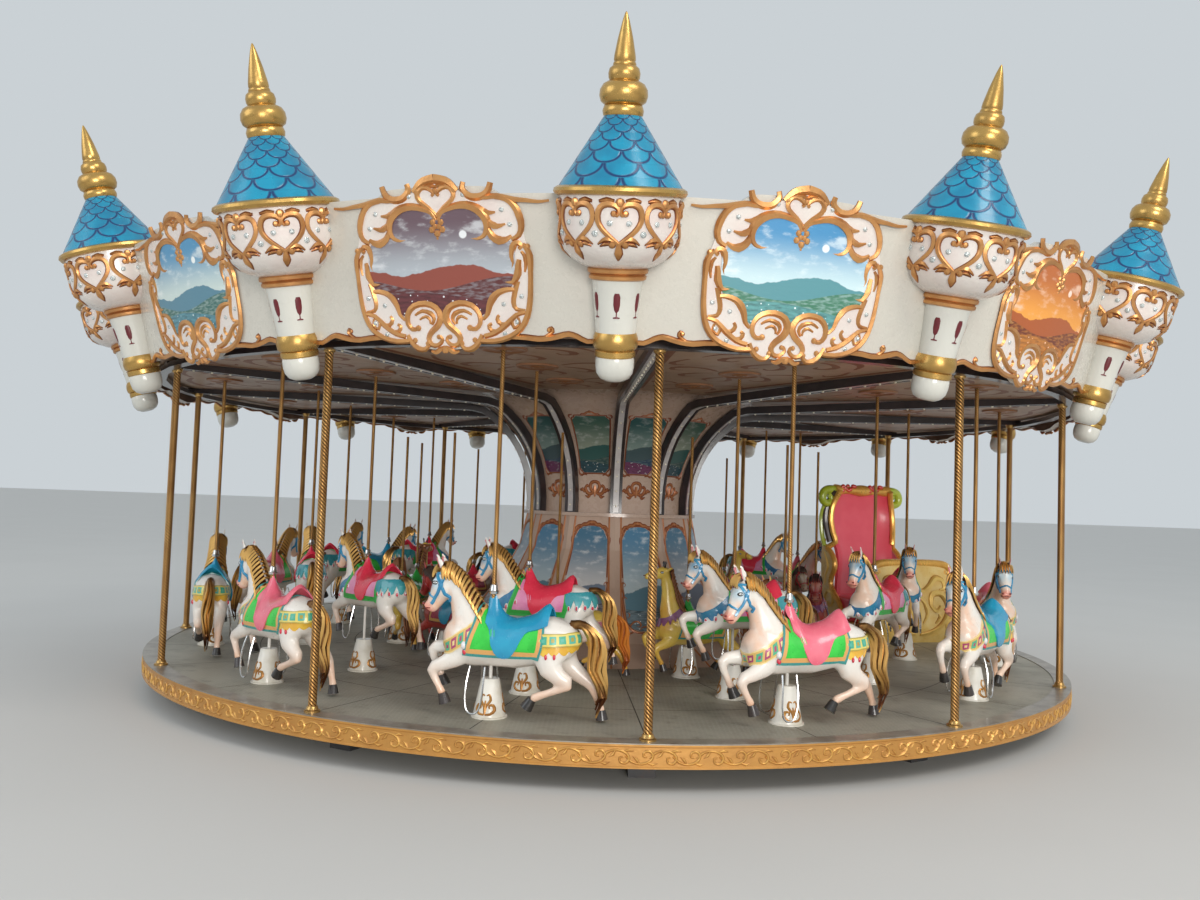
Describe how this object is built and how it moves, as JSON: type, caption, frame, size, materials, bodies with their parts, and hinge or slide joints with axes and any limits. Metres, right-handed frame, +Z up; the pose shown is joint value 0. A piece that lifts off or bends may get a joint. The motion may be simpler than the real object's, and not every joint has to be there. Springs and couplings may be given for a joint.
{
  "type": "fairground carousel",
  "caption": "Fairground carousel with a leaning ring of carved rounding boards and blue-roofed towers, a panelled column, brass poles, rising mounts and a chariot.",
  "frame": {"origin": "on the ground at the centre of the turntable's axis", "axes": "+Z up along the axis of rotation, -Y the pictured front, +X to its right"},
  "size_m": [9.9086, 10.0992, 4.3],
  "materials": {
    "dark_steel": "dark grey painted steel",
    "deck_plate": "dusty grey-brown chequer plate",
    "gold_band": "gold lacquer over embossed scrollwork",
    "brass": "twisted brass tube",
    "cream_panel": "cream glass-fibre panels with painted pictures and red-brown scrolls",
    "dark_rib": "black-brown ribs with a pale inset strip",
    "ceiling_panel": "beige panels with painted brown scrolls",
    "roof_sheet": "plain weathered sheet",
    "cream_board": "cream white glass fibre with gold carving",
    "tower_paint": "white and gold glass fibre with a sky blue scaled cone",
    "chariot_paint": "red and yellow painted glass fibre",
    "mount_paint": "white painted glass fibre with coloured tack"
  },
  "bodies": {
    "base": {"base_frame": "dark_steel"},
    "turntable": {"deck": "deck_plate", "rim_band": "gold_band", "edge_poles": "brass", "column_skirt": "cream_panel", "column_cove": "cream_panel", "sweep_frame": "dark_rib", "ceiling": "ceiling_panel", "roof": "roof_sheet", "rounding_boards": "cream_board", "tower_01": "tower_paint", "tower_02": "tower_paint", "tower_03": "tower_paint", "tower_04": "tower_paint", "tower_05": "tower_paint", "tower_06": "tower_paint", "tower_07": "tower_paint", "tower_08": "tower_paint", "tower_09": "tower_paint", "tower_10": "tower_paint", "tower_11": "tower_paint", "tower_12": "tower_paint", "tower_13": "tower_paint", "tower_14": "tower_paint", "chariot": "chariot_paint"},
    "outer_mount_01": {"outer_mount_01": "mount_paint"},
    "outer_mount_02": {"outer_mount_02": "mount_paint"},
    "outer_mount_03": {"outer_mount_03": "mount_paint"},
    "outer_mount_05": {"outer_mount_05": "mount_paint"},
    "outer_mount_06": {"outer_mount_06": "mount_paint"},
    "outer_mount_07": {"outer_mount_07": "mount_paint"},
    "outer_mount_08": {"outer_mount_08": "mount_paint"},
    "outer_mount_09": {"outer_mount_09": "mount_paint"},
    "outer_mount_10": {"outer_mount_10": "mount_paint"},
    "outer_mount_11": {"outer_mount_11": "mount_paint"},
    "outer_mount_12": {"outer_mount_12": "mount_paint"},
    "middle_mount_01": {"middle_mount_01": "mount_paint"},
    "middle_mount_02": {"middle_mount_02": "mount_paint"},
    "middle_mount_03": {"middle_mount_03": "mount_paint"},
    "middle_mount_05": {"middle_mount_05": "mount_paint"},
    "middle_mount_06": {"middle_mount_06": "mount_paint"},
    "middle_mount_07": {"middle_mount_07": "mount_paint"},
    "middle_mount_08": {"middle_mount_08": "mount_paint"},
    "middle_mount_09": {"middle_mount_09": "mount_paint"},
    "middle_mount_10": {"middle_mount_10": "mount_paint"},
    "middle_mount_11": {"middle_mount_11": "mount_paint"},
    "middle_mount_12": {"middle_mount_12": "mount_paint"},
    "inner_mount_01": {"inner_mount_01": "mount_paint"},
    "inner_mount_02": {"inner_mount_02": "mount_paint"},
    "inner_mount_03": {"inner_mount_03": "mount_paint"},
    "inner_mount_04": {"inner_mount_04": "mount_paint"},
    "inner_mount_05": {"inner_mount_05": "mount_paint"},
    "inner_mount_06": {"inner_mount_06": "mount_paint"},
    "inner_mount_07": {"inner_mount_07": "mount_paint"},
    "inner_mount_08": {"inner_mount_08": "mount_paint"},
    "inner_mount_09": {"inner_mount_09": "mount_paint"},
    "inner_mount_10": {"inner_mount_10": "mount_paint"},
    "inner_mount_11": {"inner_mount_11": "mount_paint"},
    "inner_mount_12": {"inner_mount_12": "mount_paint"}
  },
  "joints": [
    {"name": "turntable_spin", "type": "hinge", "parent": "base", "child": "turntable", "pos_m": [0, 0, 0.229], "axis": [0, 0, 1], "continuous": true},
    {"name": "outer_mount_01_lift", "type": "slide", "parent": "turntable", "child": "outer_mount_01", "axis": [0, 0, 1], "range_m": [0, 0.22]},
    {"name": "outer_mount_02_lift", "type": "slide", "parent": "turntable", "child": "outer_mount_02", "axis": [0, 0, 1], "range_m": [0, 0.22]},
    {"name": "outer_mount_03_lift", "type": "slide", "parent": "turntable", "child": "outer_mount_03", "axis": [0, 0, 1], "range_m": [0, 0.22]},
    {"name": "outer_mount_05_lift", "type": "slide", "parent": "turntable", "child": "outer_mount_05", "axis": [0, 0, 1], "range_m": [0, 0.22]},
    {"name": "outer_mount_06_lift", "type": "slide", "parent": "turntable", "child": "outer_mount_06", "axis": [0, 0, 1], "range_m": [0, 0.22]},
    {"name": "outer_mount_07_lift", "type": "slide", "parent": "turntable", "child": "outer_mount_07", "axis": [0, 0, 1], "range_m": [0, 0.22]},
    {"name": "outer_mount_08_lift", "type": "slide", "parent": "turntable", "child": "outer_mount_08", "axis": [0, 0, 1], "range_m": [0, 0.22]},
    {"name": "outer_mount_09_lift", "type": "slide", "parent": "turntable", "child": "outer_mount_09", "axis": [0, 0, 1], "range_m": [0, 0.22]},
    {"name": "outer_mount_10_lift", "type": "slide", "parent": "turntable", "child": "outer_mount_10", "axis": [0, 0, 1], "range_m": [0, 0.22]},
    {"name": "outer_mount_11_lift", "type": "slide", "parent": "turntable", "child": "outer_mount_11", "axis": [0, 0, 1], "range_m": [0, 0.22]},
    {"name": "outer_mount_12_lift", "type": "slide", "parent": "turntable", "child": "outer_mount_12", "axis": [0, 0, 1], "range_m": [0, 0.22]},
    {"name": "middle_mount_01_lift", "type": "slide", "parent": "turntable", "child": "middle_mount_01", "axis": [0, 0, 1], "range_m": [-0.22, 0]},
    {"name": "middle_mount_02_lift", "type": "slide", "parent": "turntable", "child": "middle_mount_02", "axis": [0, 0, 1], "range_m": [-0.22, 0]},
    {"name": "middle_mount_03_lift", "type": "slide", "parent": "turntable", "child": "middle_mount_03", "axis": [0, 0, 1], "range_m": [-0.22, 0]},
    {"name": "middle_mount_05_lift", "type": "slide", "parent": "turntable", "child": "middle_mount_05", "axis": [0, 0, 1], "range_m": [-0.22, 0]},
    {"name": "middle_mount_06_lift", "type": "slide", "parent": "turntable", "child": "middle_mount_06", "axis": [0, 0, 1], "range_m": [-0.22, 0]},
    {"name": "middle_mount_07_lift", "type": "slide", "parent": "turntable", "child": "middle_mount_07", "axis": [0, 0, 1], "range_m": [-0.22, 0]},
    {"name": "middle_mount_08_lift", "type": "slide", "parent": "turntable", "child": "middle_mount_08", "axis": [0, 0, 1], "range_m": [-0.22, 0]},
    {"name": "middle_mount_09_lift", "type": "slide", "parent": "turntable", "child": "middle_mount_09", "axis": [0, 0, 1], "range_m": [-0.22, 0]},
    {"name": "middle_mount_10_lift", "type": "slide", "parent": "turntable", "child": "middle_mount_10", "axis": [0, 0, 1], "range_m": [-0.22, 0]},
    {"name": "middle_mount_11_lift", "type": "slide", "parent": "turntable", "child": "middle_mount_11", "axis": [0, 0, 1], "range_m": [-0.22, 0]},
    {"name": "middle_mount_12_lift", "type": "slide", "parent": "turntable", "child": "middle_mount_12", "axis": [0, 0, 1], "range_m": [-0.22, 0]},
    {"name": "inner_mount_01_lift", "type": "slide", "parent": "turntable", "child": "inner_mount_01", "axis": [0, 0, 1], "range_m": [0, 0.22]},
    {"name": "inner_mount_02_lift", "type": "slide", "parent": "turntable", "child": "inner_mount_02", "axis": [0, 0, 1], "range_m": [0, 0.22]},
    {"name": "inner_mount_03_lift", "type": "slide", "parent": "turntable", "child": "inner_mount_03", "axis": [0, 0, 1], "range_m": [0, 0.22]},
    {"name": "inner_mount_04_lift", "type": "slide", "parent": "turntable", "child": "inner_mount_04", "axis": [0, 0, 1], "range_m": [0, 0.22]},
    {"name": "inner_mount_05_lift", "type": "slide", "parent": "turntable", "child": "inner_mount_05", "axis": [0, 0, 1], "range_m": [0, 0.22]},
    {"name": "inner_mount_06_lift", "type": "slide", "parent": "turntable", "child": "inner_mount_06", "axis": [0, 0, 1], "range_m": [0, 0.22]},
    {"name": "inner_mount_07_lift", "type": "slide", "parent": "turntable", "child": "inner_mount_07", "axis": [0, 0, 1], "range_m": [0, 0.22]},
    {"name": "inner_mount_08_lift", "type": "slide", "parent": "turntable", "child": "inner_mount_08", "axis": [0, 0, 1], "range_m": [0, 0.22]},
    {"name": "inner_mount_09_lift", "type": "slide", "parent": "turntable", "child": "inner_mount_09", "axis": [0, 0, 1], "range_m": [0, 0.22]},
    {"name": "inner_mount_10_lift", "type": "slide", "parent": "turntable", "child": "inner_mount_10", "axis": [0, 0, 1], "range_m": [0, 0.22]},
    {"name": "inner_mount_11_lift", "type": "slide", "parent": "turntable", "child": "inner_mount_11", "axis": [0, 0, 1], "range_m": [0, 0.22]},
    {"name": "inner_mount_12_lift", "type": "slide", "parent": "turntable", "child": "inner_mount_12", "axis": [0, 0, 1], "range_m": [0, 0.22]}
  ],
  "couplings": [
    {"joint": "outer_mount_02_lift", "follows": "outer_mount_01_lift", "ratio": 1},
    {"joint": "outer_mount_03_lift", "follows": "outer_mount_01_lift", "ratio": 1},
    {"joint": "outer_mount_05_lift", "follows": "outer_mount_01_lift", "ratio": 1},
    {"joint": "outer_mount_06_lift", "follows": "outer_mount_01_lift", "ratio": 1},
    {"joint": "outer_mount_07_lift", "follows": "outer_mount_01_lift", "ratio": 1},
    {"joint": "outer_mount_08_lift", "follows": "outer_mount_01_lift", "ratio": 1},
    {"joint": "outer_mount_09_lift", "follows": "outer_mount_01_lift", "ratio": 1},
    {"joint": "outer_mount_10_lift", "follows": "outer_mount_01_lift", "ratio": 1},
    {"joint": "outer_mount_11_lift", "follows": "outer_mount_01_lift", "ratio": 1},
    {"joint": "outer_mount_12_lift", "follows": "outer_mount_01_lift", "ratio": 1},
    {"joint": "middle_mount_01_lift", "follows": "outer_mount_01_lift", "ratio": -1},
    {"joint": "middle_mount_02_lift", "follows": "outer_mount_01_lift", "ratio": -1},
    {"joint": "middle_mount_03_lift", "follows": "outer_mount_01_lift", "ratio": -1},
    {"joint": "middle_mount_05_lift", "follows": "outer_mount_01_lift", "ratio": -1},
    {"joint": "middle_mount_06_lift", "follows": "outer_mount_01_lift", "ratio": -1},
    {"joint": "middle_mount_07_lift", "follows": "outer_mount_01_lift", "ratio": -1},
    {"joint": "middle_mount_08_lift", "follows": "outer_mount_01_lift", "ratio": -1},
    {"joint": "middle_mount_09_lift", "follows": "outer_mount_01_lift", "ratio": -1},
    {"joint": "middle_mount_10_lift", "follows": "outer_mount_01_lift", "ratio": -1},
    {"joint": "middle_mount_11_lift", "follows": "outer_mount_01_lift", "ratio": -1},
    {"joint": "middle_mount_12_lift", "follows": "outer_mount_01_lift", "ratio": -1},
    {"joint": "inner_mount_01_lift", "follows": "outer_mount_01_lift", "ratio": 1},
    {"joint": "inner_mount_02_lift", "follows": "outer_mount_01_lift", "ratio": 1},
    {"joint": "inner_mount_03_lift", "follows": "outer_mount_01_lift", "ratio": 1},
    {"joint": "inner_mount_04_lift", "follows": "outer_mount_01_lift", "ratio": 1},
    {"joint": "inner_mount_05_lift", "follows": "outer_mount_01_lift", "ratio": 1},
    {"joint": "inner_mount_06_lift", "follows": "outer_mount_01_lift", "ratio": 1},
    {"joint": "inner_mount_07_lift", "follows": "outer_mount_01_lift", "ratio": 1},
    {"joint": "inner_mount_08_lift", "follows": "outer_mount_01_lift", "ratio": 1},
    {"joint": "inner_mount_09_lift", "follows": "outer_mount_01_lift", "ratio": 1},
    {"joint": "inner_mount_10_lift", "follows": "outer_mount_01_lift", "ratio": 1},
    {"joint": "inner_mount_11_lift", "follows": "outer_mount_01_lift", "ratio": 1},
    {"joint": "inner_mount_12_lift", "follows": "outer_mount_01_lift", "ratio": 1}
  ]
}
